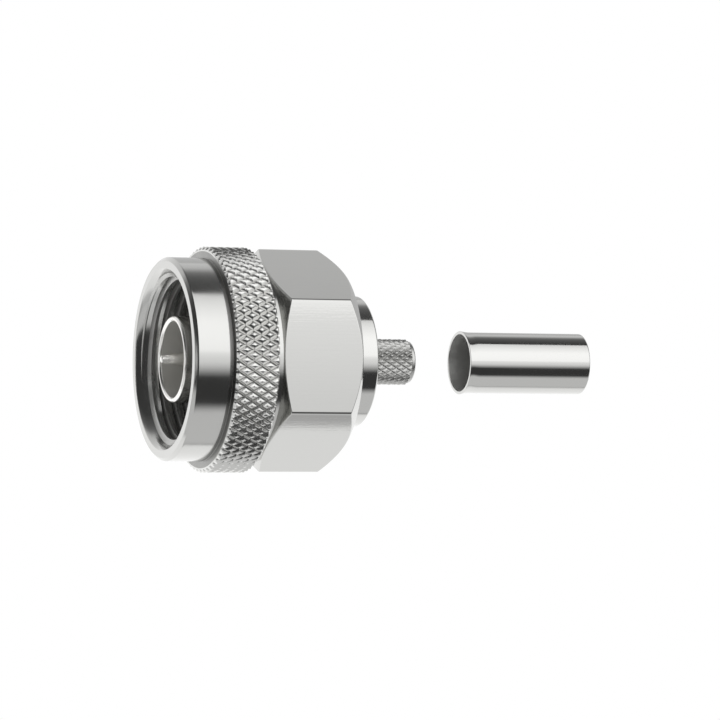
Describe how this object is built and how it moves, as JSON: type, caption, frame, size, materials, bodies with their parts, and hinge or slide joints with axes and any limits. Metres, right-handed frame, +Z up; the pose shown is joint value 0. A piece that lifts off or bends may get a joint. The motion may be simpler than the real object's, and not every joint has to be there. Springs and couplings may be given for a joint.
{
  "type": "n type coaxial connector plug",
  "caption": "Coaxial crimp plug with a knurled and hexagonal coupling nut, a centre pin inside an outer contact tube, a knurled crimp stem and a loose crimp ferrule.",
  "frame": {"origin": "on the plug's axis, at the outer contact's front face, which is the mating reference plane", "axes": "+X along the axis from the mating face to the cable end, +Z up, with the plug's axis level as in its usual side view"},
  "size_m": [0.042, 0.0208, 0.0208],
  "materials": {
    "nut_plating": "bright white nickel plating on turned brass",
    "spring_bronze": "plain spring bronze, plated",
    "body_plating": "bright white nickel plating on turned brass",
    "contact_plating": "bright silver plating",
    "pin_plating": "bright silver plating",
    "ptfe": "waxy white PTFE",
    "gasket_rubber": "matt silicone rubber",
    "ferrule_plating": "bright nickel plating on annealed brass tube"
  },
  "bodies": {
    "plug": {"body": "body_plating", "outer_contact": "contact_plating", "centre_contact": "pin_plating", "front_insulator": "ptfe", "rear_insulator": "ptfe", "gasket": "gasket_rubber"},
    "ring": {"snap_ring": "spring_bronze"},
    "nut": {"coupling_nut": "nut_plating"},
    "ferrule": {"crimp_ferrule": "ferrule_plating"}
  },
  "joints": [
    {"name": "nut_play", "type": "slide", "parent": "plug", "child": "ring", "axis": [1, 0, 0], "range_m": [-0.0003, 0.0003]},
    {"name": "nut_spin", "type": "hinge", "parent": "ring", "child": "nut", "pos_m": [0.0119, 0, 0], "axis": [1, 0, 0], "continuous": true},
    {"name": "ferrule_slide", "type": "slide", "parent": "plug", "child": "ferrule", "axis": [1, 0, 0], "range_m": [-0.01035, 0]}
  ]
}
